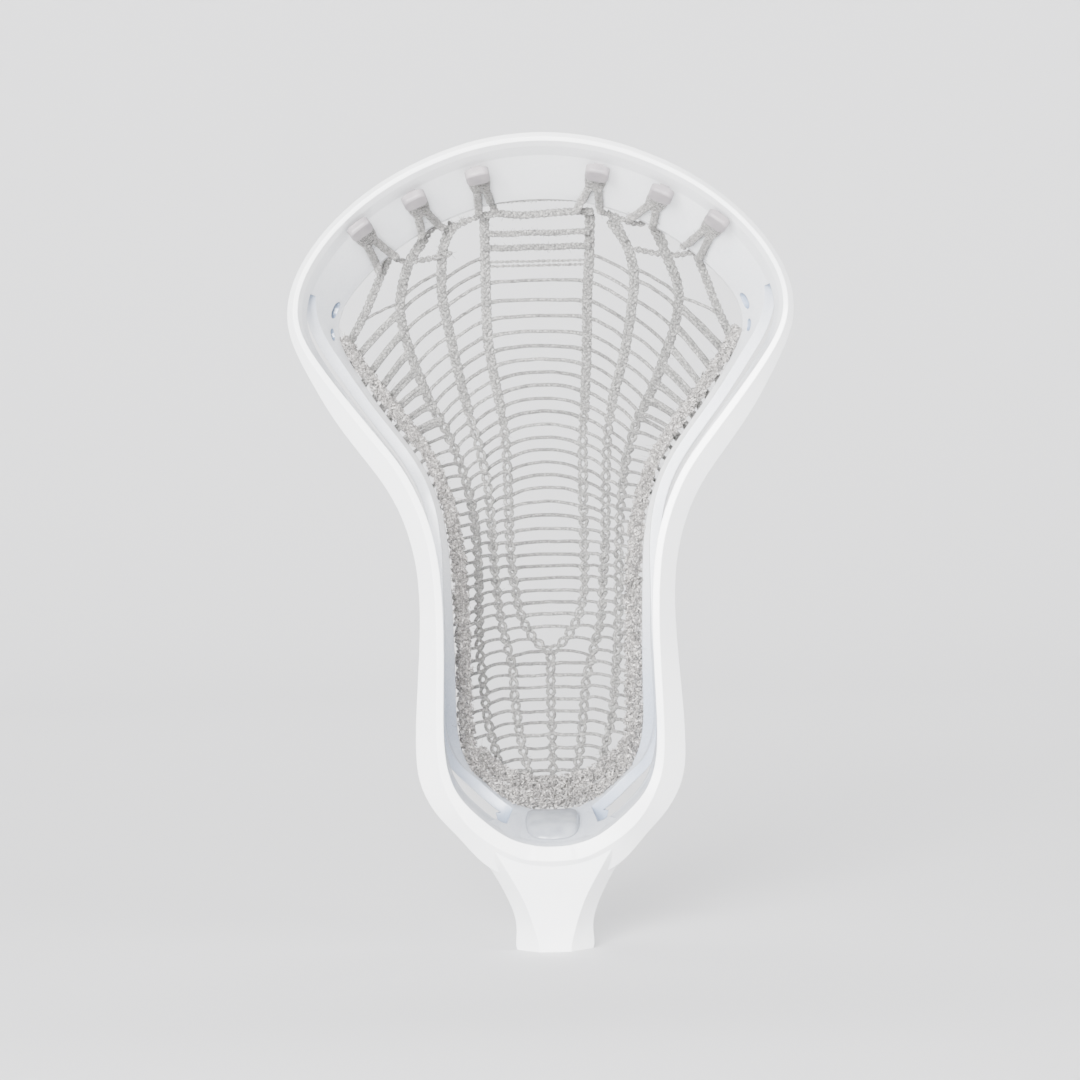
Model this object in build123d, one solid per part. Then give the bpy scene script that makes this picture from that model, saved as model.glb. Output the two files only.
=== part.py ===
from build123d import *
import os
from math import cos, pi, radians, sin

# Women's lacrosse head with a strung pocket. Millimetres.
# Origin: centre of the socket mouth. +Z runs along the shaft to the scoop, the ball side faces -Y.

# --- Throat and shaft socket ---
SOCKET_FLATS = 22.4
SOCKET_DEPTH = 36.0
SCREW_RADIUS = 2.1
SCREW_Z = 14.0
# height, then half width, half flat, depth and side depth at the front, then the same at the back
THROAT = [
    (0, 14.4, 5.97, 14.4, 5.97, 14.4, 5.97, 14.4, 5.97),
    (7, 14.5, 7.2, 14.7, 6.3, 14.5, 6.6, 14.6, 6.1),
    (15, 15.7, 9.6, 16.0, 7.3, 15.2, 7.6, 15.4, 6.6),
    (22, 18.6, 12.4, 17.8, 8.8, 16.2, 8.6, 16.8, 7.6),
    (30, 22.8, 16.6, 20.0, 11.6, 17.4, 10.0, 18.8, 9.6),
    (37, 27.6, 20.6, 21.2, 14.0, 18.4, 11.4, 20.2, 12.0),
    (44, 32.6, 25.5, 21.6, 15.2, 19.4, 12.8, 21.2, 14.0),
    (50, 37.4, 30.5, 22.0, 16.0, 20.4, 14.0, 21.6, 15.0),
]

# --- Ring of the head, right half, from the ball stop to the tip of the scoop ---
# x and z of the front inner edge, its outward angle, then offsets along that direction:
# outer edge, crease, wall, outside and inside of the string rail
RING = [
    (0.0, 40.4, -90, 14.0, 5.4, -2.0, -3.6, -9.1),
    (6.4, 40.8, -83, 14.0, 5.4, -2.0, -3.6, -9.2),
    (12.7, 42.4, -73, 14.0, 5.4, -2.0, -3.5, -9.2),
    (20.5, 46.6, -60, 13.4, 5.3, -1.6, -3.4, -8.5),
    (28.1, 53.0, -48, 11.4, 5.2, -1.4, -3.2, -7.9),
    (33.9, 59.4, -37, 11.3, 3.8, -1.0, -2.4, -7.2),
    (37.6, 67.0, -20, 11.6, 3.2, 0.0, 0.0, -5.6),
    (39.4, 78.0, -6, 11.0, 2.8, 1.0, 3.2, -4.0),
    (39.4, 95.0, 2, 10.2, 2.6, 1.2, 4.5, -3.2),
    (38.8, 117.0, 2, 9.3, 2.6, 1.2, 4.5, -2.4),
    (39.1, 134.0, -3, 8.7, 2.6, 1.2, 4.5, -2.2),
    (41.3, 153.5, -14, 8.8, 2.6, 1.0, 2.5, -3.4),
    (45.8, 168.5, -22, 9.0, 2.6, 0.6, 0.4, -5.0),
    (52.0, 181.0, -32, 9.3, 2.6, 0.2, -0.8, -6.0),
    (61.5, 194.0, -38, 9.2, 2.6, -0.2, -1.4, -6.6),
    (71.4, 206.6, -38, 8.4, 2.5, -0.8, -2.0, -7.4),
    (82.0, 221.0, -30, 6.0, 2.2, -1.6, -3.6, -9.0),
    (89.2, 236.0, -6, 4.4, 1.8, -2.8, -6.4, -11.6),
    (88.2, 248.6, 14, 3.8, 1.6, -3.2, -8.0, -13.2),
    (84.0, 257.4, 31, 3.6, 1.6, -3.4, -8.6, -13.8),
    (77.6, 266.1, 43, 3.5, 1.5, -3.5, -9.4, -14.6),
    (69.2, 274.4, 51, 3.5, 1.5, -3.5, -9.8, -15.0),
    (58.3, 282.5, 59, 3.5, 1.5, -3.5, -10.0, -15.2),
    (46.8, 288.9, 65, 3.5, 1.5, -3.5, -10.0, -15.2),
    (35.2, 293.8, 71, 3.5, 1.5, -3.5, -10.0, -15.2),
    (23.4, 297.4, 77, 3.5, 1.5, -3.5, -10.2, -15.4),
    (11.6, 299.5, 84, 3.5, 1.5, -3.5, -10.6, -15.8),
    (0.0, 300.2, 90, 3.5, 1.5, -3.5, -10.8, -16.0),
]

# --- Windows through the walls: station, then the depths the window runs between ---
SIDE_WINDOW = [(8.7, -1.5, 1.5), (9, -4, 4), (10, -8, 9), (11, -10, 11), (12, -11, 12), (13, -11, 11),
               (14, -12, 10), (15, -13, 8), (16, -16, 3), (17, -19, -6), (18, -20, -15)]
STOP_WINDOW = [(2.7, -8, 11), (3, -9, 12), (4, -10, 13), (5, -10, 13), (6, -8, 11), (7, -3, 5), (7.3, 0, 2)]

# --- Scoop hooks: x, z and outward angle of each right-hand hook ---
HOOKS = [(22.8, 292.6, 78), (46.9, 284.1, 66), (67.6, 273.0, 54)]
HOOK_CAP = (9.0, 8.4, 3.0)
HOOK_STEM = (3.6, 3.0)
HOOK_STEM_SHIFT = 1.7
HOOK_GAP = 2.2
HOOK_SEAT = 0.8
LOOP_LENGTH = 23.0

# --- String holes in the upper walls: station, depth, length and width of each slot ---
STRING_HOLES = [(17.75, 4.5, 6.5, 5.0), (16.8, 5.0, 4.8, 3.8)]

# --- Strings ---
CLEAR = 0.35
LACE_THICK = 1.2
NET_THICK = 2.0
POCKET_SAG = 36.0
BINDING_RADIUS = 2.6
TOP_CORD_RADIUS = 1.6
SHOOTER_RADIUS = 1.6
SHOOTER_Z = (270.0, 263.5)
SHOOTER_HALF = 20.0
NET_LEVELS = (56.5, 60, 66, 74, 84, 98, 112, 126, 140, 154, 168, 182, 196, 210, 222, 232, 240, 248,
              256, 264, 270, 275, 278)


def front_y(z):
    """Depth of the front rail at height z; the scoop rises towards the ball side."""
    if z < 60:
        return -24.0 + 2.0 * (60.0 - z) / 20.0
    if z < 150:
        return -24.0
    return -24.0 - 15.0 * ((z - 150.0) / 150.0) ** 2


def back_y(z):
    """Depth of the string rail at height z."""
    if z < 160:
        return 22.0
    return 22.0 - 15.0 * ((z - 160.0) / 140.0) ** 1.5


def blend(a, b, t):
    return a + (b - a) * t


def station(s):
    """The ring's row s, blended when s lies between two rows."""
    k = min(int(s), len(RING) - 2)
    return [blend(a, b, s - k) for a, b in zip(RING[k], RING[k + 1])]


def at(s, u, y):
    """The point at offset u along the outward direction of station s."""
    x, z, angle = station(s)[:3]
    return Vector(x + u * cos(radians(angle)), y, z + u * sin(radians(angle)))


def polygon(points):
    return Face(Wire.make_polygon(points, close=True))


def ring_section(s):
    x, z, angle, outer, crease, wall, rail_out, rail_in = station(s)
    f = front_y(z)
    b = back_y(z)
    lip = min(1.0, (outer - 3.5) / 5.5)
    top = (0.4 * wall, f + 4)
    low = (rail_in, b - 4.5)
    slope = (low[0] - top[0]) / (low[1] - top[1])
    shelf = max(rail_in, rail_out - 3.9)
    if slope < -0.2 or s < 6:
        shelf = top[0] + slope * (b - 9 - top[1])
    points = [
        (0, f),
        (crease, f - 0.4),
        (outer, f + 2.5 + 4.5 * lip),
        (outer - 0.5, f + 5.0 + 6.0 * lip),
        (wall + 3.7, f + 13.5),
        (shelf + 3.7, b - 8),
        (rail_out + 0.8, b - 5),
        (rail_out + 0.4, b),
        (rail_in, b),
        low,
        (shelf, b - 9),
        (wall, f + 12),
        top,
    ]
    return polygon([at(s, u, y) for u, y in points])


def mirrored(solid):
    return solid.mirror(Plane.YZ)


def throat_section(row):
    z, half, flat, depth, side, half_back, flat_back, depth_back, side_back = row
    right = [(flat, -depth), (half, -side), (half_back, side_back), (flat_back, depth_back)]
    left = [(-x, y) for x, y in reversed(right)]
    return polygon([Vector(x, y, z) for x, y in right + left])


def cavity():
    """The room of the pocket above the ball stop, kept out of the throat."""
    wires = []
    for s in range(6, -1, -1):
        row = station(s)
        f = front_y(row[1])
        b = back_y(row[1])
        corners = [(-28, f - 6), (0.3, f - 6), (0.3, f), (0.4 * row[5] + 0.3, f + 4),
                   (row[7] + 0.3, b - 4.5), (row[7] + 0.3, b + 6), (-28, b + 6)]
        wires.append(Wire.make_polygon([at(s, u, y) for u, y in corners], close=True))
    left = [wire.mirror(Plane.YZ) for wire in reversed(wires[:-1])]
    return Solid.make_loft(wires + left, True)


def throat():
    """The flared octagonal throat that rises to the ball stop."""
    body = Solid.make_loft([throat_section(row).outer_wire() for row in THROAT], False)
    return body - cavity()


def window(rows):
    wires = []
    for s, low, high in rows:
        corners = [(-16, low), (16, low), (16, high), (-16, high)]
        wires.append(Wire.make_polygon([at(s, u, y) for u, y in corners], close=True))
    return Solid.make_loft(wires, False)


def surface_y(x, z, angle):
    """Depth of the scoop's inner face at a point of the front view, and the way it slopes."""
    misses = []
    for i in range(19 * 20, 27 * 20 + 1):
        edge = at(i / 20, 0, 0)
        miss = edge.X - x + (z - edge.Z) / sin(radians(angle)) * cos(radians(angle))
        misses.append((abs(miss), i / 20))
    s = min(misses)[1]
    edge = at(s, 0, 0)
    u = (x - edge.X) * cos(radians(angle)) + (z - edge.Z) * sin(radians(angle))
    row = station(s)
    top = Vector(0.4 * row[5], front_y(row[1]) + 4)
    low = Vector(row[7], back_y(row[1]) - 4.5)
    y = top.Y + (u - top.X) * (low.Y - top.Y) / (low.X - top.X)
    return y, (low - top).normalized()


def hook_plane(x, z, angle):
    """Local frame on the scoop: X across, Y down the slope to the strings, Z off the surface."""
    y, down = surface_y(x, z, angle)
    out = Vector(cos(radians(angle)), 0, sin(radians(angle)))
    across = Vector(sin(radians(angle)), 0, -cos(radians(angle)))
    slope = out * down.X + Vector(0, down.Y, 0)
    normal = across.cross(slope)
    if normal.Y > 0:
        across = across * -1
        normal = normal * -1
    return Plane(origin=(x, y, z), x_dir=across, z_dir=normal)


def hook(plane):
    cap_size, cap_length, cap_height = HOOK_CAP
    cap = Pos(0, 0, HOOK_GAP + cap_height / 2) * Box(cap_size, cap_length, cap_height)
    cap = fillet(cap.edges().filter_by(Axis.Z), 2.4)
    cap = fillet(cap.edges().group_by(Axis.Z)[-1], 1.2)
    height = HOOK_GAP + HOOK_SEAT
    stem = Pos(0, HOOK_STEM_SHIFT, height / 2 - HOOK_SEAT) * Box(HOOK_STEM[0], HOOK_STEM[1], height)
    return plane * (cap + stem)


def hook_seat(plane):
    gap = 0.1
    size = (HOOK_STEM[0] + gap, HOOK_STEM[1] + gap, 4.0)
    return plane * (Pos(0, HOOK_STEM_SHIFT, 2.0 - HOOK_SEAT) * Box(*size))


def hook_loop(plane, length):
    """A flat woven band round the stem that splits into two legs to the scoop's edge."""
    stem = HOOK_STEM_SHIFT + HOOK_STEM[1] / 2 + CLEAR
    base = 0.6
    lead = stem + 7.0
    outline = [
        (-3.2, stem), (3.2, stem), (2.9, lead), (4.9, length), (2.9, length), (0.5, lead + 2.0),
        (-0.5, lead + 2.0), (-2.9, length), (-4.9, length), (-2.9, lead),
    ]
    flat = polygon([Vector(x, y, base) for x, y in outline])
    return plane * extrude(flat, LACE_THICK, dir=(0, 0, 1))


def tube(points, radius):
    """A cord through the points, six-sided and ruled between them."""
    wires = []
    for k, point in enumerate(points):
        ahead = points[min(k + 1, len(points) - 1)] - points[max(k - 1, 0)]
        across = Vector(0, 1, 0).cross(ahead).normalized()
        corners = [
            point + across * (radius * cos(radians(a))) + Vector(0, radius * sin(radians(a)), 0)
            for a in range(0, 360, 60)
        ]
        wires.append(Wire.make_polygon(corners, close=True))
    return Solid.make_loft(wires, True)


def pad():
    wires = []
    for s in (1.6, 0.8, 0.0):
        row = station(s)
        f = front_y(row[1])
        b = back_y(row[1])
        slope = (row[7] - 0.4 * row[5]) / (b - 4.5 - f - 4)
        inner = [(y, 0.4 * row[5] + slope * (y - f - 4) - CLEAR) for y in (-13.0, 11.0)]
        corners = [(inner[0][1], -13.0), (inner[1][1], 11.0), (inner[1][1] - 2.0, 11.6),
                   (inner[1][1] - 3.2, 9.6), (inner[0][1] - 3.2, -11.6), (inner[0][1] - 2.0, -13.6)]
        wires.append(Wire.make_polygon([at(s, u, y) for u, y in corners], close=True))
    half = Solid.make_loft(wires, False)
    return half + mirrored(half)


def half_width(z):
    """Half width between the string rails at height z."""
    points = [at(s / 4, station(s / 4)[7], 0) for s in range(2 * 4, 27 * 4 + 1)]
    for p, q in zip(points[:-1], points[1:]):
        if min(p.Z, q.Z) <= z <= max(p.Z, q.Z):
            return blend(p.X, q.X, (z - p.Z) / (q.Z - p.Z))
    return points[0].X if z < 100 else points[-1].X


def net_y(x, z):
    """Depth of the pocket: a bag that is deepest a third of the way up."""
    t = min(1.0, max(0.0, (z - 48.0) / 236.0))
    sag = POCKET_SAG * sin(pi * t ** 0.71)
    w = max(half_width(z), 12.0)
    return back_y(z) - 4.0 + sag * (1 - min(1.0, (x / w) ** 2))


def net_half_width(z):
    """Half width of the netting inside the bindings at height z."""
    edge = []
    for i in range(27 * 4 + 1):
        gap = 2 * BINDING_RADIUS + 3 * CLEAR if i < 71 else 2 * TOP_CORD_RADIUS + 2 * CLEAR
        edge.append(at(i / 4, station(i / 4)[7] - gap, 0))
    for p, q in zip(edge[:-1], edge[1:]):
        if min(p.Z, q.Z) <= z <= max(p.Z, q.Z) and p.Z != q.Z:
            return blend(p.X, q.X, (z - p.Z) / (q.Z - p.Z))
    return 6.0


def pocket_net():
    """The netting as one thin bag, made of bands that run across the pocket."""
    wires = []
    for z in NET_LEVELS:
        w = net_half_width(z)
        xs = [w * t for t in (-1, -0.75, -0.5, -0.25, 0, 0.25, 0.5, 0.75, 1)]
        front = [Vector(x, net_y(x, z), z) for x in xs]
        back = [Vector(x, net_y(x, z) + NET_THICK, z) for x in reversed(xs)]
        wires.append(Wire.make_polygon(front + back, close=True))
    return Solid.make_loft(wires, True)


def side_binding():
    points = []
    for s in (4.5, 5, 5.5, 6, 6.5, 7, 8, 9, 10, 11, 12, 13, 14, 15, 16, 16.5, 17, 17.4):
        row = station(s)
        points.append(at(s, row[7] - BINDING_RADIUS - 2 * CLEAR, back_y(row[1]) - 2.6))
    return tube(points, BINDING_RADIUS)


def bottom_binding():
    points = []
    for s in (4.2, 3, 2, 1):
        row = station(s)
        points.append(at(s, row[7] - BINDING_RADIUS - CLEAR, back_y(row[1]) - 2.6))
    row = station(0)
    centre = at(0, row[7] - BINDING_RADIUS - CLEAR, back_y(row[1]) - 2.6)
    left = [Vector(-p.X, p.Y, p.Z) for p in reversed(points)]
    return tube(points + [centre] + left, BINDING_RADIUS)


def top_cord():
    points = []
    for s in (17.9, 18.5, 19, 20, 21, 22, 23, 24, 25, 26):
        row = station(s)
        points.append(at(s, row[7] - TOP_CORD_RADIUS - CLEAR, back_y(row[1]) - 2.0))
    row = station(27)
    centre = at(27, row[7] - TOP_CORD_RADIUS - CLEAR, back_y(row[1]) - 2.0)
    left = [Vector(-p.X, p.Y, p.Z) for p in reversed(points)]
    return tube(points + [centre] + left, TOP_CORD_RADIUS)


def shooting_cord(z):
    lift = NET_THICK + SHOOTER_RADIUS + CLEAR
    xs = [-SHOOTER_HALF, -0.5 * SHOOTER_HALF, 0, 0.5 * SHOOTER_HALF, SHOOTER_HALF]
    return tube([Vector(x, net_y(x, z) - lift, z) for x in xs], SHOOTER_RADIUS)


def string_hole(s, y, length, width):
    """An oblong hole through the wall for the top of the side string."""
    x_dir = at(s + 0.1, 0, 0) - at(s, 0, 0)
    out = at(s, 1, 0) - at(s, 0, 0)
    slot = Plane(origin=at(s, -4, y), x_dir=x_dir, z_dir=out) * SlotOverall(length, width)
    return extrude(slot, 12, both=True)


def head_frame(planes):
    last = len(RING) - 1
    right = [ring_section(s).outer_wire() for s in range(1, last + 1)]
    left = [wire.mirror(Plane.YZ) for wire in reversed(right[:-1])]
    ring = Solid.make_loft(right + left, False)
    stop = Solid.make_loft([left[-1], ring_section(0).outer_wire(), right[0]], False)
    body = ring + stop + throat()
    for rows in (SIDE_WINDOW, STOP_WINDOW):
        cut = window(rows)
        body = body - cut - mirrored(cut)
    for row in STRING_HOLES:
        cut = string_hole(*row)
        body = body - cut - mirrored(cut)
    for plane in planes:
        seat = hook_seat(plane)
        body = body - seat - mirrored(seat)
    socket = RegularPolygon(SOCKET_FLATS / 2, 8, major_radius=False, rotation=22.5)
    body = body - extrude(socket, SOCKET_DEPTH)
    screw = Pos(0, 0, SCREW_Z) * Rot(90, 0, 0) * Cylinder(SCREW_RADIUS, 40)
    half = Pos(0, 20, SCREW_Z) * Box(10, 40, 10)
    return body - (screw & half)


def main():
    os.makedirs("parts", exist_ok=True)
    right = [hook_plane(*row) for row in HOOKS]
    hooks = [hook(plane) for plane in right]
    loops = [hook_loop(plane, LOOP_LENGTH) for plane in right]
    parts = {"head_frame": head_frame(right), "ball_stop_pad": pad()}
    for k, (peg, loop) in enumerate(zip(hooks, loops)):
        parts[f"scoop_hook_{4 + k}"] = peg
        parts[f"scoop_hook_{3 - k}"] = mirrored(peg)
        parts[f"hook_loop_{4 + k}"] = loop
        parts[f"hook_loop_{3 - k}"] = mirrored(loop)
    parts["top_cord"] = top_cord()
    parts["shooting_cord_upper"] = shooting_cord(SHOOTER_Z[0])
    parts["shooting_cord_lower"] = shooting_cord(SHOOTER_Z[1])
    side = side_binding()
    parts["side_binding_right"] = side
    parts["side_binding_left"] = mirrored(side)
    parts["bottom_binding"] = bottom_binding()
    parts["pocket_net"] = pocket_net()
    for name, solid in parts.items():
        export_step(solid, f"parts/{name}.step")


main()
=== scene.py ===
import bpy
import math
import random
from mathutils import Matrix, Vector
from mathutils.bvhtree import BVHTree


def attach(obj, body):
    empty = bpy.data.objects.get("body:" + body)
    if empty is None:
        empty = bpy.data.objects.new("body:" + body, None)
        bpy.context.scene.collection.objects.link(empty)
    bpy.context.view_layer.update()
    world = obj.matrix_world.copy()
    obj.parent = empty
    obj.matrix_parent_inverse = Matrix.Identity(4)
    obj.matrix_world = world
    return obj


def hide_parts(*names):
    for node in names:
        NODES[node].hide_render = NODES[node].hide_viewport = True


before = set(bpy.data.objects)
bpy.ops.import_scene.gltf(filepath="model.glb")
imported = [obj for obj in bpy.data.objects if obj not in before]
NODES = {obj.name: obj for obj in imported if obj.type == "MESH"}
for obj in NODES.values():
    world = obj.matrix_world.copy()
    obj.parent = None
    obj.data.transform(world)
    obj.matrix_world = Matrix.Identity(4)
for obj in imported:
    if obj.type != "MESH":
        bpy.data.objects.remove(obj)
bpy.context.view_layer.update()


# ---------- materials ----------
def material(name, color, rough, **more):
    """A Principled material and its node helpers."""
    mat = bpy.data.materials.new(name)
    mat.use_nodes = True
    tree = mat.node_tree
    shader = tree.nodes["Principled BSDF"]
    shader.inputs["Base Color"].default_value = (*color, 1)
    shader.inputs["Roughness"].default_value = rough
    for key, value in more.items():
        shader.inputs[key.replace("_", " ")].default_value = value
    return mat, tree, shader


def node(tree, kind, **values):
    """A shader node with its sockets or settings filled in by name."""
    made = tree.nodes.new(kind)
    for key, value in values.items():
        if key in made.inputs:
            made.inputs[key].default_value = value
        else:
            setattr(made, key, value)
    return made


def ramp(tree, source, stops):
    """A colour ramp over a value; each stop is a position with a grey or a colour."""
    made = tree.nodes.new("ShaderNodeValToRGB")
    tree.links.new(source, made.inputs["Fac"])
    elements = made.color_ramp.elements
    while len(elements) < len(stops):
        elements.new(0.5)
    for element, (position, value) in zip(elements, stops):
        element.position = position
        element.color = (*value, 1) if isinstance(value, tuple) else (value, value, value, 1)
    return made.outputs["Color"]


def white_plastic():
    """Glossy white plastic with soft edges, and painted blue-grey shade in the hollows, taken from ambient
    occlusion.
    """
    mat, tree, shader = material("white_moulded_plastic", (0.86, 0.865, 0.88), 0.3)
    coords = node(tree, "ShaderNodeTexCoord")
    noise = node(tree, "ShaderNodeTexNoise", Scale=45.0, Detail=4.0)
    tree.links.new(coords.outputs["Object"], noise.inputs["Vector"])
    tree.links.new(ramp(tree, noise.outputs["Fac"], [(0.3, 0.15), (0.7, 0.26)]),
                   shader.inputs["Roughness"])
    # Painted shade: the base colour turns blue-grey where ambient occlusion finds hollows, corners and
    # creases.
    hollow = node(tree, "ShaderNodeAmbientOcclusion", Distance=0.09)
    hollow.samples = 8
    hollow.only_local = True
    painted_hollow_shade = ramp(tree, hollow.outputs["AO"], [(0.5, (0.2, 0.26, 0.37)), (0.78, (0.56, 0.6, 0.68)),
                                         (0.89, (0.94, 0.943, 0.945))])
    mottle = ramp(tree, noise.outputs["Fac"], [(0.3, (0.97, 0.975, 0.985)), (0.7, (1.0, 1.0, 1.0))])
    mix = tree.nodes.new("ShaderNodeMix")
    mix.data_type = "RGBA"
    mix.blend_type = "MULTIPLY"
    mix.inputs["Factor"].default_value = 1.0
    tree.links.new(painted_hollow_shade, mix.inputs["A"])
    tree.links.new(mottle, mix.inputs["B"])
    tree.links.new(mix.outputs["Result"], shader.inputs["Base Color"])
    bevel = node(tree, "ShaderNodeBevel", Radius=0.0006)
    bevel.samples = 6
    fine = node(tree, "ShaderNodeTexNoise", Scale=900.0, Detail=2.0)
    tree.links.new(coords.outputs["Object"], fine.inputs["Vector"])
    bump = node(tree, "ShaderNodeBump", Strength=0.04, Distance=0.0003)
    tree.links.new(fine.outputs["Fac"], bump.inputs["Height"])
    tree.links.new(bevel.outputs["Normal"], bump.inputs["Normal"])
    tree.links.new(bump.outputs["Normal"], shader.inputs["Normal"])
    return mat


def hook_plastic():
    """Greyish plastic of the scoop hooks."""
    mat, tree, shader = material("hook_plastic", (0.5, 0.47, 0.5), 0.4)
    coords = node(tree, "ShaderNodeTexCoord")
    noise = node(tree, "ShaderNodeTexNoise", Scale=180.0, Detail=3.0)
    tree.links.new(coords.outputs["Object"], noise.inputs["Vector"])
    tint = ramp(tree, noise.outputs["Fac"], [(0.3, (0.23, 0.212, 0.225)), (0.7, (0.325, 0.295, 0.303))])
    tree.links.new(tint, shader.inputs["Base Color"])
    return mat


def dress(names, mat):
    """Gives CAD nodes a material in place of their own."""
    for name in names:
        NODES[name].data.materials.clear()
        NODES[name].data.materials.append(mat)


dress(["head_frame"], white_plastic())
dress([f"scoop_hook_{k}" for k in range(1, 7)], hook_plastic())


# ---------- cords ----------
# Points of the front view are (x, height) in millimetres in the plane y = FLAT_Y, for an eye at EYE_Y.
# They lean a little to the left of the row frame as they rise, and LEAN and LEAN_START straighten them.
VIEW_X, VIEW_Z = -2.2, 154.4
EYE_Y, FLAT_Y, FLAT_Z = -1000.0, -20.0, 151.4
LEAN, LEAN_START = 0.007, -0.35
CAMERA_SPOT = Vector((VIEW_X, -1002.6, VIEW_Z))


def tree_of(name):
    """A search tree over a CAD node, in millimetres of the row frame."""
    o = NODES[name]
    verts = [o.matrix_world @ v.co * 1000 for v in o.data.vertices]
    return BVHTree.FromPolygons(verts, [list(p.vertices) for p in o.data.polygons])


BAG = tree_of("pocket_net")
HEAD = tree_of("head_frame")


def bag_y(x, z):
    """Depth of the front of the pocket at a point seen from the ball side."""
    hit = BAG.ray_cast(Vector((x, -100, z)), Vector((0, 1, 0)))[0]
    if hit is None:
        hit = BAG.find_nearest(Vector((x, 20, z)))[0]
    return hit.y


def at_depth(x, z, y):
    """A point of the front view, carried along the line of sight to depth y."""
    f = (y - EYE_Y) / (FLAT_Y - EYE_Y)
    x += LEAN * z + LEAN_START
    return Vector((VIEW_X + (x - VIEW_X) * f, y, VIEW_Z + (z - FLAT_Z) * f))


def on_bag(x, z, lift=0.0):
    """The point of the pocket seen at (x, z), lifted off its surface."""
    y = 25.0
    for _ in range(4):
        p = at_depth(x, z, y)
        y = bag_y(p.x, p.z) + 1.0 - lift
    return at_depth(x, z, y)


def on_head(x, z, lift):
    """The point of the head seen at (x, z), lifted off its surface."""
    hit, normal = HEAD.ray_cast(CAMERA_SPOT, (at_depth(x, z, 0) - CAMERA_SPOT).normalized())[:2]
    if hit is None or hit.y > 15:
        return None
    return hit + normal * (lift if normal.y < 0 else -lift)


def curve(points, step):
    """Points about step apart on a smooth curve through the given ones."""
    out = []
    n = len(points)
    for i in range(n - 1):
        p0, p1 = points[max(i - 1, 0)], points[i]
        p2, p3 = points[i + 1], points[min(i + 2, n - 1)]
        count = max(1, int(round((p2 - p1).length / step)))
        for k in range(count):
            t = k / count
            out.append(0.5 * (2 * p1 + (p2 - p0) * t + (2 * p0 - 5 * p1 + 4 * p2 - p3) * t * t
                              + (3 * p1 - p0 - 3 * p2 + p3) * t * t * t))
    out.append(points[-1].copy())
    return out


# Braids: how many strands, their radius, how far they swing across and in depth, and the length of one turn
RAIL_BRAID = {"strands": 3, "radius": 0.85, "wide": 1.3, "deep": 0.5, "pitch": 7.5}
CHAIN_BRAID = {"strands": 2, "radius": 0.76, "wide": 1.4, "deep": 0.4, "pitch": 9.2}
OUTER_BRAID = {"strands": 3, "radius": 0.75, "wide": 1.1, "deep": 0.5, "pitch": 7.0}
SCOOP_BRAID = {"strands": 3, "radius": 0.85, "wide": 0.75, "deep": 0.7, "pitch": 6.5}
LIP_BRAID = {"strands": 2, "radius": 0.34, "wide": 0.35, "deep": 0.3, "pitch": 3.0}
LINK_BRAID = {"strands": 2, "radius": 0.6, "wide": 0.75, "deep": 0.4, "pitch": 5.0}
THIN_BRAID = {"strands": 2, "radius": 0.34, "wide": 0.3, "deep": 0.3, "pitch": 4.0}
BINDING_BRAID = {"strands": 3, "radius": 0.9, "wide": 1.4, "deep": 1.0, "pitch": 9.0}
LEG_BRAID = {"strands": 3, "radius": 0.78, "wide": 0.9, "deep": 0.5, "pitch": 6.0}


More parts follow.
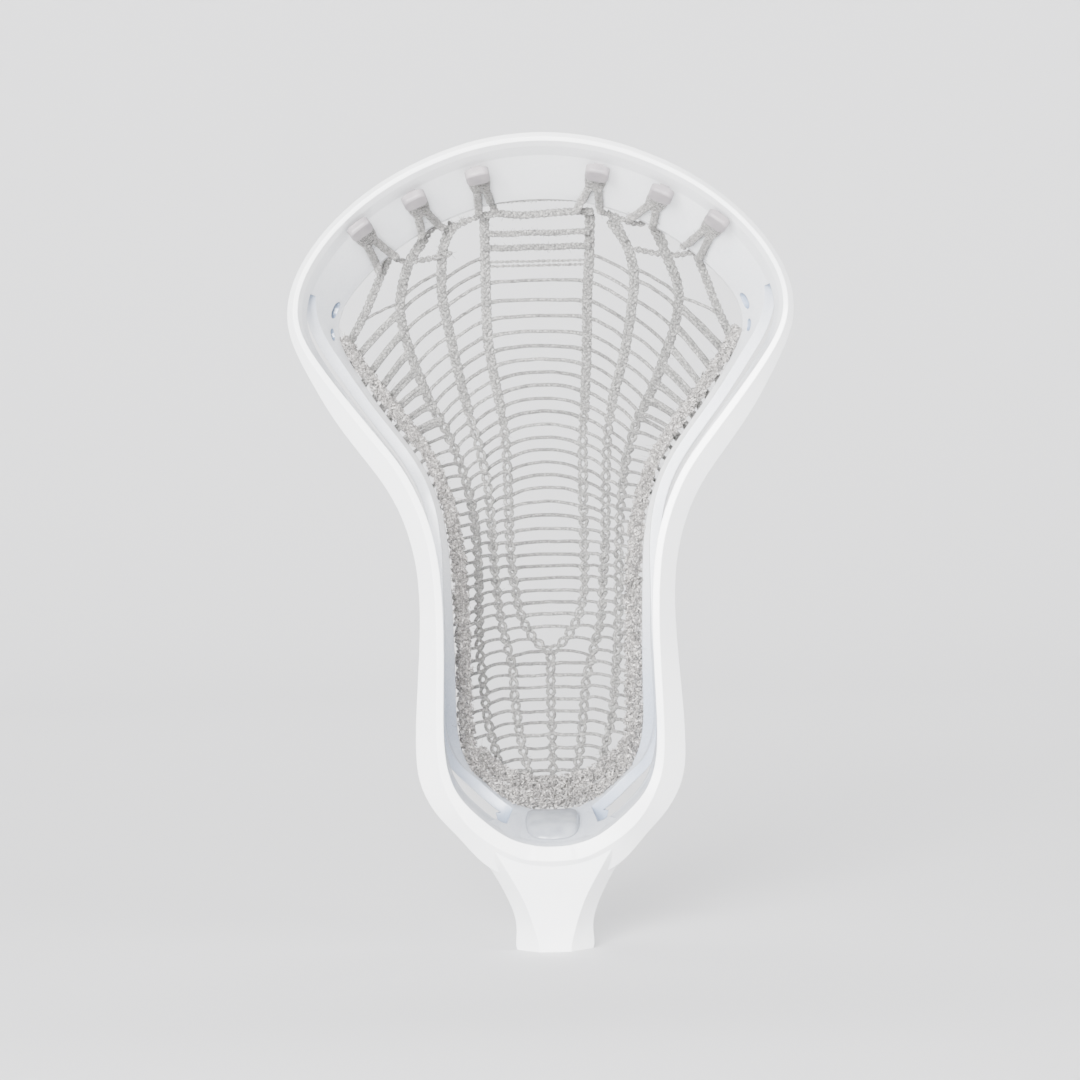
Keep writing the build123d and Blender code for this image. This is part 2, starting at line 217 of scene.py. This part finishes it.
class Cords:
    """Collects many round strands into one mesh with lengths along them and a shade for each."""

    def __init__(self, seed):
        self.verts, self.faces, self.uvs, self.tones = [], [], [], []
        self.rng = random.Random(seed)

    def strand(self, path, radius, sides=6, tone=None):
        if len(path) < 2:
            return
        tone = self.rng.uniform(0.75, 1.1) if tone is None else tone
        start = len(self.verts)
        n = len(path)
        length = 0.0
        side = None
        for i, p in enumerate(path):
            ahead = (path[min(i + 1, n - 1)] - path[max(i - 1, 0)]).normalized()
            if side is None:
                side = ahead.orthogonal().normalized()
            side = (side - ahead * side.dot(ahead)).normalized()
            up = ahead.cross(side)
            if i:
                length += (p - path[i - 1]).length
            r = radius(i / (n - 1)) if callable(radius) else radius
            for k in range(sides):
                a = 2 * math.pi * k / sides
                self.verts.append(p + (side * math.cos(a) + up * math.sin(a)) * r)
                self.uvs.append((length, k / sides))
                self.tones.append(tone)
        for i in range(n - 1):
            for k in range(sides):
                a, b = start + i * sides + k, start + i * sides + (k + 1) % sides
                self.faces.append((a, b, b + sides, a + sides))
        self.faces.append(tuple(start + k for k in reversed(range(sides))))
        self.faces.append(tuple(start + (n - 1) * sides + k for k in range(sides)))

    def braid(self, path, strands, radius, wide, deep, pitch, sides=6, step=0.7, wobble=0.12):
        """Strands that cross each other from side to side along a path."""
        fine = curve(path, step)
        phase = self.rng.uniform(0, 6.28)
        run = [0.0]
        for a, b in zip(fine[:-1], fine[1:]):
            run.append(run[-1] + (b - a).length)
        for s in range(strands):
            line = []
            shift = phase + 2 * math.pi * s / strands
            for i, p in enumerate(fine):
                ahead = (fine[min(i + 1, len(fine) - 1)] - fine[max(i - 1, 0)]).normalized()
                across = ahead.cross(Vector((0, 1, 0))).normalized()
                out = across.cross(ahead).normalized()
                a = 2 * math.pi * run[i] / pitch + shift
                jog = Vector([self.rng.uniform(-wobble, wobble) for _ in range(3)])
                line.append(p + across * (wide * math.sin(a)) + out * (deep * math.sin(2 * a)) + jog)
            self.strand(line, radius, sides)

    def fuzz(self, path, count, reach, radius=0.07):
        """Short stray fibres that stand off a path."""
        fine = curve(path, 1.0)
        for _ in range(count):
            p = self.rng.choice(fine)
            way = Vector([self.rng.gauss(0, 1) for _ in range(3)]).normalized()
            bend = Vector([self.rng.gauss(0, 1) for _ in range(3)]).normalized()
            far = reach * self.rng.uniform(0.6, 1.2)
            line = [p + way * far * t + bend * (far * 0.5 * t * t) for t in (0.3, 0.65, 1.0)]
            self.strand(line, radius, 3, self.rng.uniform(0.6, 1.5))

    def pile(self, path, thick, per_mm, radius=0.3, squash=1.0):
        """A dense band of small yarn curls round a path."""
        fine = curve(path, 0.5)
        n = len(fine)
        rng = self.rng
        total = sum((b - a).length for a, b in zip(fine[:-1], fine[1:]))
        for _ in range(int(total * per_mm)):
            i = rng.randrange(1, n - 1)
            big = thick(i / (n - 1)) if callable(thick) else thick
            ahead = (fine[i + 1] - fine[i - 1]).normalized()
            across = ahead.cross(Vector((0, 1, 0))).normalized()
            out = across.cross(ahead).normalized()
            a = rng.uniform(0, 6.28)
            r = big * rng.uniform(0.45, 1.0)
            core = fine[i] + across * (r * math.cos(a)) + out * (r * squash * math.sin(a))
            one = Vector([rng.gauss(0, 1) for _ in range(3)]).normalized()
            two = one.cross(Vector([rng.gauss(0, 1) for _ in range(3)])).normalized()
            size = rng.uniform(0.5, 1.25)
            turn = rng.uniform(1.6, 4.6)
            line = []
            for k in range(7):
                b = turn * k / 6
                line.append(core + one * (size * math.cos(b)) + two * (size * math.sin(b))
                            + ahead * (0.25 * b * (k % 2 - 0.5)))
            self.strand(line, radius * rng.uniform(0.6, 1.3), 4,
                        rng.choice((0.5, 0.7, 0.85, 1.0, 1.15, 1.4)))

    def build(self, name, mat, *nodes):
        mesh = bpy.data.meshes.new(name)
        mesh.from_pydata([v / 1000 for v in self.verts], [], self.faces)
        mesh.polygons.foreach_set("use_smooth", [True] * len(self.faces))
        layer = mesh.uv_layers.new(name="UVMap")
        loops = [0] * len(mesh.loops)
        mesh.loops.foreach_get("vertex_index", loops)
        flat = []
        for v in loops:
            flat += self.uvs[v]
        layer.data.foreach_set("uv", flat)
        tone = mesh.color_attributes.new("tone", "FLOAT_COLOR", "POINT")
        values = []
        for t in self.tones:
            values += (t / 2, t / 2, t / 2, 1)
        tone.data.foreach_set("color", values)
        mesh.materials.append(mat)
        made = bpy.data.objects.new(name, mesh)
        bpy.context.scene.collection.objects.link(made)
        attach(made, "root")
        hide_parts(*nodes)
        return made


def yarn(name, color, low, high, speck):
    """Fuzzy braided string: speckled light and dark fibres with a fine weave."""
    mat, tree, shader = material(name, color, 0.85)
    shader.inputs["Sheen Weight"].default_value = 0.25
    coords = node(tree, "ShaderNodeTexCoord")
    tone = node(tree, "ShaderNodeVertexColor", layer_name="tone")
    noise = node(tree, "ShaderNodeTexNoise", Scale=speck, Detail=3.0, Roughness=0.7)
    tree.links.new(coords.outputs["Object"], noise.inputs["Vector"])
    dark = tuple(c * low for c in color)
    light = tuple(min(1.0, c * high) for c in color)
    spots = ramp(tree, noise.outputs["Fac"], [(0.36, dark), (0.5, color), (0.64, light)])
    mix = tree.nodes.new("ShaderNodeMix")
    mix.data_type = "RGBA"
    mix.blend_type = "MULTIPLY"
    mix.inputs["Factor"].default_value = 1.0
    scale = tree.nodes.new("ShaderNodeVectorMath")
    scale.operation = "SCALE"
    scale.inputs["Scale"].default_value = 2.0
    tree.links.new(tone.outputs["Color"], scale.inputs[0])
    tree.links.new(spots, mix.inputs["A"])
    tree.links.new(scale.outputs["Vector"], mix.inputs["B"])
    tree.links.new(mix.outputs["Result"], shader.inputs["Base Color"])
    wave = node(tree, "ShaderNodeTexNoise", Scale=speck * 1.3, Detail=2.0)
    tree.links.new(coords.outputs["Object"], wave.inputs["Vector"])
    bump = node(tree, "ShaderNodeBump", Strength=0.8, Distance=0.0004)
    tree.links.new(wave.outputs["Fac"], bump.inputs["Height"])
    tree.links.new(bump.outputs["Normal"], shader.inputs["Normal"])
    return mat


GREY_YARN = yarn("grey_braided_string", (0.175, 0.172, 0.165), 0.4, 2.1, 1400.0)
DARK_YARN = yarn("grey_wound_yarn", (0.29, 0.275, 0.262), 0.35, 2.0, 1500.0)
BAND_YARN = yarn("woven_band", (0.21, 0.204, 0.195), 0.45, 1.8, 1600.0)

# Rails of the pocket from the scoop down, as points of the front view
CENTRE_LEFT = [(-21.7, 272.3), (-21.6, 255.6), (-21.5, 240.7), (-21, 225.8), (-19.3, 214.6),
               (-17.3, 203.5), (-15.4, 192), (-14.6, 178), (-14.3, 158), (-13.6, 144), (-12.1, 131),
               (-9.9, 122), (-5.6, 114.5), (-0.2, 110)]
CENTRE_RIGHT = [(17.7, 272.3), (17.1, 255.6), (16.1, 240.7), (15.8, 225.8), (14.7, 203.5), (13.6, 190),
                (13.4, 166), (13.4, 136.5), (12.6, 129.5), (10.8, 122.4), (6.4, 115), (0.9, 110)]
SPINE = [(0.3, 110), (0.2, 92), (0.4, 78), (0.5, 63)]
SECOND_LEFT = [(-33.3, 270.2), (-37.1, 261), (-38, 248), (-37.5, 240.7), (-34.7, 226), (-31.5, 211),
               (-28, 197), (-24.4, 184), (-21.9, 171), (-20.7, 155), (-19.7, 138), (-17.6, 120),
               (-14.1, 105), (-13.2, 92), (-11.2, 77), (-8.2, 63)]
SECOND_RIGHT = [(25.1, 269.7), (31.5, 259.5), (33.7, 248), (32.4, 236), (29.6, 220), (25.4, 205),
                (22.7, 189), (21.8, 171), (21.4, 152), (20.3, 138), (19.2, 122), (16, 109), (13.4, 99),
                (12.3, 88), (10.5, 72), (8.6, 62)]
THIRD_LEFT = [(-44.2, 264.5), (-50.3, 254.8), (-53.5, 241), (-52.5, 231), (-49, 219), (-43.6, 205),
              (-36.8, 192), (-31, 177), (-27.6, 162), (-26.2, 144), (-26, 129), (-26, 112),
              (-24.8, 99), (-23.5, 85), (-20, 70)]
THIRD_RIGHT = [(41.1, 267.5), (46, 256), (50, 244.4), (49.3, 233), (45.4, 221), (40, 207), (33.9, 195),
               (29.8, 181), (27.6, 166), (26.3, 148), (26, 130), (25.4, 112), (23.9, 95), (22.6, 84),
               (19, 70)]
OUTER_LEFT = [(-57.3, 258), (-62.3, 247), (-67, 236.5), (-73, 225.5)]
OUTER_RIGHT = [(56.2, 259), (60.2, 248), (64.8, 235.5), (69.5, 225)]
# The edge that the pocket is tied to, from the ball stop up the right side
EDGE = [(14, 54.5), (20.5, 59), (27, 65), (32, 71.5), (34, 79), (35, 99), (35.2, 120), (35.8, 138),
        (37.3, 150.5), (41, 164), (47, 177.5), (56, 190.5), (66, 204), (72.6, 212.4), (76, 221)]


def rail_at(rail, z):
    """x of a rail at height z."""
    for (x0, z0), (x1, z1) in zip(rail[:-1], rail[1:]):
        if z1 <= z <= z0:
            return x0 + (x1 - x0) * (z0 - z) / (z0 - z1)
    return rail[0][0] if z > rail[0][1] else rail[-1][0]


def edge_at(side, z):
    """x of the pocket's edge at height z, on the side -1 or 1."""
    for (x0, z0), (x1, z1) in zip(EDGE[:-1], EDGE[1:]):
        if z0 <= z <= z1:
            return side * (x0 + (x1 - x0) * (z - z0) / (z1 - z0)) - LEAN * z - LEAN_START
    return side * (EDGE[0][0] if z < EDGE[0][1] else EDGE[-1][0]) - LEAN * z - LEAN_START


TOP_RUNG = 247.7
RUNG_GAP, EXTRA_GAP, GAP_FALL = 4.45, 2.6, 4.5


def levels(top, bottom):
    """Heights of the rungs: wide apart at the scoop and close in the bag."""
    out, z, k = [], TOP_RUNG, 0
    while z > bottom:
        if z < top:
            out.append(z)
        z -= RUNG_GAP + EXTRA_GAP * math.exp(-k / GAP_FALL)
        k += 1
    return out


BAND_DEPTH, BAND_LOW = 21.5, 54.5


def band_anchor(x):
    """A point inside the bottom binding, where a rail ends; the binding rises to both sides."""
    return Vector((x, BAND_DEPTH, BAND_LOW + 0.02 * x * x))


RAIL_SPLIT = 199


def rails():
    """Three-strand rails above RAIL_SPLIT that run on as two-strand chains into the bottom binding."""
    cords = Cords(11)
    for rail in (CENTRE_LEFT, CENTRE_RIGHT, SECOND_LEFT, SECOND_RIGHT, THIRD_LEFT, THIRD_RIGHT):
        upper = [on_bag(x, z, 0.3) for x, z in rail if z > RAIL_SPLIT]
        joint = [on_bag(rail_at(rail, RAIL_SPLIT), RAIL_SPLIT, 0.3)]
        lower = [on_bag(x, z, 0.3) for x, z in rail if z < RAIL_SPLIT]
        if rail not in (CENTRE_LEFT, CENTRE_RIGHT):
            lower.append(band_anchor(lower[-1].x * 0.97))
        cords.braid(upper + joint, **RAIL_BRAID)
        cords.braid(joint + lower, **CHAIN_BRAID)
        cords.fuzz(upper + joint + lower, 340, 2.1)
    spine = [on_bag(x, z, 0.3) for x, z in SPINE] + [band_anchor(0.3)]
    cords.braid(spine, **CHAIN_BRAID)
    cords.fuzz(spine, 60, 2.0)
    for rail in (OUTER_LEFT, OUTER_RIGHT):
        path = [on_bag(x, z, 0.3) for x, z in rail]
        cords.braid(path, **OUTER_BRAID)
        cords.fuzz(path, 60, 2.1)
    return cords.build("pocket_rails", GREY_YARN, "pocket_net")


def rung(cords, left, right, z_left, z_right, arch, radius=0.72):
    """One cord between two rails, given as x at each end."""
    rng = cords.rng
    pts = []
    for k in range(9):
        t = k / 8
        x = left + (right - left) * t
        z = z_left + (z_right - z_left) * t
        foot = 0.7 * (math.exp(-t * 14) + math.exp(-(1 - t) * 14))
        z += arch * 4 * t * (1 - t) + rng.uniform(-0.12, 0.12) - foot * (1 if arch >= 0 else -1)
        pts.append(on_bag(x, z, 0.1))
    fine = curve(pts, 0.8)
    fat = radius * rng.uniform(0.9, 1.1)
    cords.strand(fine, lambda t: fat * (1 + 0.5 * (math.exp(-t * 12) + math.exp(-(1 - t) * 12))), 6)


def ease(value, low, high):
    """0 at low, 1 at high and straight between them, whichever end is the larger."""
    return max(0.0, min(1.0, (value - low) / (high - low)))


def rungs():
    """The ladder between the rails: across the middle, beside the spine, then the two outer columns."""
    cords = Cords(23)
    rng = cords.rng
    for z in levels(250, 118):
        arch = 0.3 + 2.6 * ease(z, 238, 205) * ease(z, 150, 172)
        rung(cords, rail_at(CENTRE_LEFT, z), rail_at(CENTRE_RIGHT, z), z, z + rng.uniform(-0.3, 0.3), arch)
    for z in levels(110, 62):
        arch = rng.uniform(-0.5, 0.3)
        rung(cords, rail_at(SECOND_LEFT, z), rail_at(SPINE, z), z - 0.4, z, arch)
        rung(cords, rail_at(SPINE, z), rail_at(SECOND_RIGHT, z), z, z - 0.4, arch)
    for inner, outer in ((CENTRE_LEFT, SECOND_LEFT), (CENTRE_RIGHT, SECOND_RIGHT)):
        for z in levels(268, 106) + [252, 257.5]:
            a = rail_at(inner, z)
            b = rail_at(outer, z - 2)
            drop = abs(b - a) * (0.14 + 0.42 * ease(z, 148, 172))
            rung(cords, a, rail_at(outer, z - drop), z, z - drop, 0.7 + rng.uniform(-0.2, 0.3))
    for inner, outer in ((SECOND_LEFT, THIRD_LEFT), (SECOND_RIGHT, THIRD_RIGHT)):
        for z in levels(262, 63) + [252]:
            a = rail_at(inner, z)
            b = rail_at(outer, z - 2)
            drop = abs(b - a) * (0.2 + 0.48 * ease(z, 150, 180))
            rung(cords, a, rail_at(outer, z - drop), z, z - drop, 0.8 + rng.uniform(-0.2, 0.4))
    return cords.build("pocket_rungs", GREY_YARN, "pocket_net")


def diagonals():
    """Long cords that fan from the third rails down to the side bindings."""
    cords = Cords(37)
    rng = cords.rng
    for side, rail in ((-1, THIRD_LEFT), (1, THIRD_RIGHT)):
        z = 238.0
        while z > 76:
            steep = ease(z, 178, 233)
            a = rail_at(rail, z)
            gap = abs(edge_at(side, z - 8) - a) - 3.0
            drop = gap * (0.35 + 0.62 * steep)
            b = edge_at(side, max(60, z - drop)) - side * 3.0
            doubled = steep > 0.25
            radius = 0.9 if doubled else 0.72
            for twin in ((-0.7, 0.7) if doubled else (0,)):
                rung(cords, a, b, z + twin * 1.2, z - drop + twin * 1.5, rng.uniform(0.2, 1.0), radius)
            z -= 4.6 + 3.0 * steep
    for rail, outer in ((THIRD_LEFT, OUTER_LEFT), (THIRD_RIGHT, OUTER_RIGHT)):
        rung(cords, rail_at(rail, 241), rail_at(outer, 234), 241, 234, 0.4, 0.6)
    return cords.build("pocket_diagonals", GREY_YARN, "pocket_net")


def edge_cords():
    """The doubled cord at the scoop and the cords that run on from hook to hook."""
    cords = Cords(41)
    middle = [at_depth(x, z, 7.0) for x, z in
              ((-22.5, 272.3), (-17, 273.2), (-8, 272.4), (2, 272.9), (12, 273.4), (18.5, 273.2))]
    cords.braid(middle, **SCOOP_BRAID)
    cords.fuzz(middle, 120, 2.2)
    lip = [at_depth(x, z, 3.4) for x, z in ((-17, 277.3), (-6, 277.9), (4, 278), (13, 277.6))]
    cords.braid(lip, **LIP_BRAID)
    cords.fuzz(lip, 90, 1.3)
    inner = {-1: [(28.6, 271.4), (33.6, 267), (37, 260.5)], 1: [(24, 272.6), (28, 268.6), (31, 262)]}
    for side in (-1, 1):
        for path in (
            [(21.5, 273), (27, 271.2), (33, 268.6), (38, 268.2)],
            [(34, 259), (40, 257.5), (46, 256.5), (52, 256.4), (55.5, 257.6)],
            [(38.6, 269.4), (42.5, 266.5), (45.8, 260)],
            inner[side],
        ):
            run = [at_depth(side * x, z, back_edge(z)) for x, z in path]
            cords.braid(run, **LINK_BRAID)
            cords.fuzz(run, 40, 1.8)
    return cords.build("scoop_edge_cords", GREY_YARN, "top_cord")


def back_edge(z):
    """Depth just behind the scoop's inner edge."""
    return 12.0 - 4.5 * (z - 255) / 20


def shooting_cords():
    """Two cords across the top of the pocket, and a thin pair under the second."""
    for name, z, r, cad in (("shooting_cord_top", 265.7, 0.62, "shooting_cord_upper"),
                            ("shooting_cord_second", 260.4, 0.72, "shooting_cord_lower")):
        cords = Cords(int(z))
        path = [on_bag(x, z + dz, 1.6) for x, dz in
                ((-21.5, 0.2), (-14, -0.2), (-5, 0.1), (4, -0.1), (11, 0.15), (17.4, 0))]
        cords.braid(path, strands=3, radius=r, wide=0.7, deep=0.5, pitch=5.5)
        cords.fuzz(path, 110, 2.0)
        if cad == "shooting_cord_lower":
            for dz in (-5.0, -6.6):
                thin = [on_bag(x, z + dz + 0.2 * math.sin(x), 0.4) for x in (-21, -8, 5, 17)]
                cords.braid(thin, **THIN_BRAID)
        cords.build(name, GREY_YARN, cad)


# The binding on the right side, as (x, height, depth) in millimetres
BINDING = [(27.4, 67, 20), (30, 72, 19.4), (31.7, 79, 19.4), (32.3, 95, 19.4), (32.5, 117, 19.4),
           (32.8, 134, 19.4), (33.8, 150, 19.2), (36.5, 168, 18.7), (41.9, 184, 18), (50.6, 198, 17),
           (60.8, 211.5, 16), (69.6, 224, 14.8), (73.6, 230.5, 14.2), (75.8, 234, 13.8)]


def bindings():
    """Yarn wound and knotted round the string rail on each side."""
    for side, name in ((-1, "side_binding_left"), (1, "side_binding_right")):
        cords = Cords(53 + side)
        path = [Vector((side * (x + 0.5), y, z)) for x, z, y in BINDING]

        def thick(t):
            return 2.1 + (0.7 if side < 0 else 1.3) * ease(t, 0.66, 0.41)

        cords.pile(path, thick, 16, 0.35, 0.8)
        cords.braid(path, **BINDING_BRAID)
        cords.fuzz(path, 420, 4.6, 0.06)
        cords.build(name + "_yarn", DARK_YARN, name)


def bottom_band():
    """The thick winding of yarn at the ball stop, as two bands side by side."""
    cords = Cords(67)
    outer = [(-29, 68), (-22, 60.5), (-12, 56), (0, 54.8), (12, 56.4), (22, 61), (29.5, 68.5)]
    inner = [(-27, 74), (-19, 65.5), (-9, 61.6), (1, 60.6), (10, 62), (19, 66), (27.5, 74)]
    path = [at_depth(x, z, 18.5) for x, z in outer]
    cords.pile(path, lambda t: 2.5 + 0.9 * math.sin(math.pi * t), 22, 0.32)
    path2 = [at_depth(x, z, 22.0) for x, z in inner]
    cords.pile(path2, lambda t: 2.1 + 0.9 * math.sin(math.pi * t), 20, 0.32)
    cords.fuzz(path, 380, 4.6, 0.06)
    cords.fuzz(path2, 260, 4.0, 0.06)
    return cords.build("bottom_band_yarn", DARK_YARN, "bottom_binding")


def middle_of(name):
    """The middle of a CAD node's box, in millimetres of the row frame."""
    o = NODES[name]
    pts = [o.matrix_world @ v.co * 1000 for v in o.data.vertices]
    low = Vector([min(p[k] for p in pts) for k in range(3)])
    high = Vector([max(p[k] for p in pts) for k in range(3)])
    return (low + high) / 2


# Where the two legs under each hook end, as points of the front view
FEET = [((-61.6, 253.7), (-55.2, 258.3)), ((-45.2, 265.8), (-37.6, 268.7)),
        ((-23.7, 273.9), (-17.9, 274.5)), ((13.0, 274.2), (21.6, 273.4)),
        ((32.6, 270.4), (41.2, 266.9)), ((52.6, 259.6), (58.8, 255.6))]


def seen_at(p):
    """Where a point stands in the front view."""
    f = (p.y - EYE_Y) / (FLAT_Y - EYE_Y)
    z = FLAT_Z + (p.z - VIEW_Z) / f
    return VIEW_X + (p.x - VIEW_X) / f - LEAN * z - LEAN_START, z


def draped(places, lift):
    """Points of the front view laid on the head, or hung on from its edge where there is no head."""
    out, last = [], None
    for x, z in places:
        p = on_head(x, z, lift)
        if p is None:
            p = at_depth(x, z, (last.y if last else 5.0) + 0.8)
        out.append(p)
        last = p
    return out


def hook_loops():
    """A woven band under each hook that splits into two braided legs."""
    for k in range(1, 7):
        cx, cz = seen_at(middle_of(f"scoop_hook_{k}"))
        (lx, lz), (rx, rz) = FEET[k - 1]
        dx, dz = (lx + rx) / 2 - cx, (lz + rz) / 2 - cz
        far = math.hypot(dx, dz)
        dx, dz = dx / far, dz / far
        cords = Cords(70 + k)

        def spot(along, aside):
            return cx + dx * along - dz * aside, cz + dz * along + dx * aside

        for s in range(-4, 5):
            w = s * 0.72
            lead = draped([spot(1.5, w * 1.3), spot(3.0, w * 1.25), spot(4.5, w * 1.08),
                           spot(6.2, w * 0.9)], 1.0)
            cords.strand(curve(lead, 0.5), 0.5, 6, 1.0 + 0.12 * (s % 2))
        for along in (3.2, 4.4, 5.6):
            tie = draped([spot(along, w) for w in (-3.3, -1.1, 1.1, 3.3)], 1.5)
            cords.strand(curve(tie, 0.5), 0.32, 6, 0.8)
        for fx, fz in FEET[k - 1]:
            aside = -dz * (fx - cx) + dx * (fz - cz)
            sign = 1 if aside > 0 else -1
            places = []
            for t in (0.0, 0.25, 0.5, 0.75, 1.0, 1.1):
                ax, az = spot(5.2, sign * 1.7)
                places.append((ax + (fx - ax) * t, az + (fz - az) * t))
            leg = draped(places, 1.1)
            cords.braid(leg, **LEG_BRAID)
            cords.fuzz(leg, 60, 2.0)
        cords.build(f"hook_loop_{k}_cord", BAND_YARN, f"hook_loop_{k}")


PAD_HALF_WIDTH, PAD_HALF_DEPTH, PAD_CROWN = 10.8, 12.4, 4.8


def stop_pad():
    """The soft pad on the ball stop: a pillow that follows the wall behind it."""
    nu, nv = 28, 20
    top, low = [], []
    for j in range(nv + 1):
        for i in range(nu + 1):
            u, v = 2 * i / nu - 1, 2 * j / nv - 1
            reach = max(abs(u), abs(v))
            pull = reach / max(1e-6, (u ** 4 + v ** 4) ** 0.25)
            x = PAD_HALF_WIDTH * u * pull * (1 - 0.06 * (1 - v))
            y = -1.0 + PAD_HALF_DEPTH * v * pull
            hit = HEAD.ray_cast(Vector((x, y, 62)), Vector((0, 0, -1)))[0]
            wall = hit.z if hit else 44.0
            body = max(0.0, 1 - reach ** 3) ** 0.5
            top.append(Vector((x, y, wall + 0.35 + PAD_CROWN * body)))
            low.append(Vector((x, y, wall + 0.3)))
    verts = [v / 1000 for v in top + low]
    faces = []
    row, half = nu + 1, (nu + 1) * (nv + 1)
    for j in range(nv):
        for i in range(nu):
            a = j * row + i
            faces.append((a, a + 1, a + 1 + row, a + row))
            faces.append((half + a, half + a + row, half + a + 1 + row, half + a + 1))
    rim = list(range(row)) + [j * row + nu for j in range(1, nv + 1)]
    rim += [nv * row + i for i in range(nu - 1, -1, -1)] + [j * row for j in range(nv - 1, 0, -1)]
    for a, b in zip(rim, rim[1:] + rim[:1]):
        faces.append((a, half + a, half + b, b))
    mesh = bpy.data.meshes.new("ball_stop_cushion")
    mesh.from_pydata(verts, [], faces)
    mesh.polygons.foreach_set("use_smooth", [True] * len(faces))
    mat, tree, shader = material("soft_clear_rubber", (0.36, 0.38, 0.43), 0.22)
    shader.inputs["Subsurface Weight"].default_value = 0.3
    shader.inputs["Subsurface Radius"].default_value = (0.004, 0.004, 0.005)
    coords = node(tree, "ShaderNodeTexCoord")
    noise = node(tree, "ShaderNodeTexNoise", Scale=120.0, Detail=3.0)
    tree.links.new(coords.outputs["Object"], noise.inputs["Vector"])
    tint = ramp(tree, noise.outputs["Fac"], [(0.3, (0.24, 0.255, 0.29)), (0.7, (0.38, 0.4, 0.43))])
    tree.links.new(tint, shader.inputs["Base Color"])
    mesh.materials.append(mat)
    pad = bpy.data.objects.new("ball_stop_cushion", mesh)
    bpy.context.scene.collection.objects.link(pad)
    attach(pad, "root")
    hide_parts("ball_stop_pad")


rails()
rungs()
diagonals()
edge_cords()
shooting_cords()
bindings()
bottom_band()
hook_loops()
stop_pad()


# ---------- stage, light and camera ----------
def stage():
    """A pale round floor whose rim curves up into a wall."""
    mat, tree, shader = material("pale_floor", (0.76, 0.76, 0.77), 0.9)
    flat, bend, top = 1.7, 0.9, 2.4
    profile = [(0.0, 0.0), (flat, 0.0)]
    profile += [(flat + bend * math.sin(a * math.pi / 20), bend - bend * math.cos(a * math.pi / 20))
                for a in range(1, 11)]
    profile += [(flat + bend, top)]
    turns = 72
    verts, faces = [], []
    for r, z in profile:
        for k in range(turns):
            a = 2 * math.pi * k / turns
            verts.append((r * math.cos(a), r * math.sin(a), z))
    for i in range(len(profile) - 1):
        for k in range(turns):
            n = (k + 1) % turns
            faces.append((i * turns + k, i * turns + n, (i + 1) * turns + n, (i + 1) * turns + k))
    mesh = bpy.data.meshes.new("floor")
    mesh.from_pydata(verts, [], faces)
    mesh.polygons.foreach_set("use_smooth", [True] * len(faces))
    mesh.materials.append(mat)
    floor = bpy.data.objects.new("floor", mesh)
    bpy.context.scene.collection.objects.link(floor)


def area(name, place, target, size, power):
    data = bpy.data.lights.new(name, "AREA")
    data.shape = "RECTANGLE"
    data.size, data.size_y = size
    data.energy = power
    lamp = bpy.data.objects.new(name, data)
    lamp.location = place
    lamp.rotation_euler = (Vector(target) - Vector(place)).to_track_quat("-Z", "Y").to_euler()
    bpy.context.scene.collection.objects.link(lamp)


def lights():
    middle = (0, 0, 0.16)
    area("key", (-0.42, -1.68, 0.46), middle, (0.8, 0.8), 144)
    area("fill", (1.3, -1.0, 0.7), middle, (0.4, 1.2), 11)
    area("top", (0.0, 0.5, 1.9), middle, (1.8, 1.0), 12)
    area("backdrop", (0.0, 0.9, 2.1), (0, 2.4, 0.4), (2.4, 1.0), 72)
    world = bpy.data.worlds.new("soft_room")
    world.use_nodes = True
    world.node_tree.nodes["Background"].inputs["Color"].default_value = (0.93, 0.95, 1.0, 1)
    world.node_tree.nodes["Background"].inputs["Strength"].default_value = 0.12
    bpy.context.scene.world = world


def camera():
    data = bpy.data.cameras.new("camera")
    data.lens = 88.0
    data.sensor_width = 36.0
    data.clip_end = 50
    cam = bpy.data.objects.new("camera", data)
    cam.location = CAMERA_SPOT / 1000
    cam.rotation_euler = (math.radians(90), math.radians(1.35), 0)
    bpy.context.scene.collection.objects.link(cam)
    bpy.context.scene.camera = cam


stage()
lights()
camera()
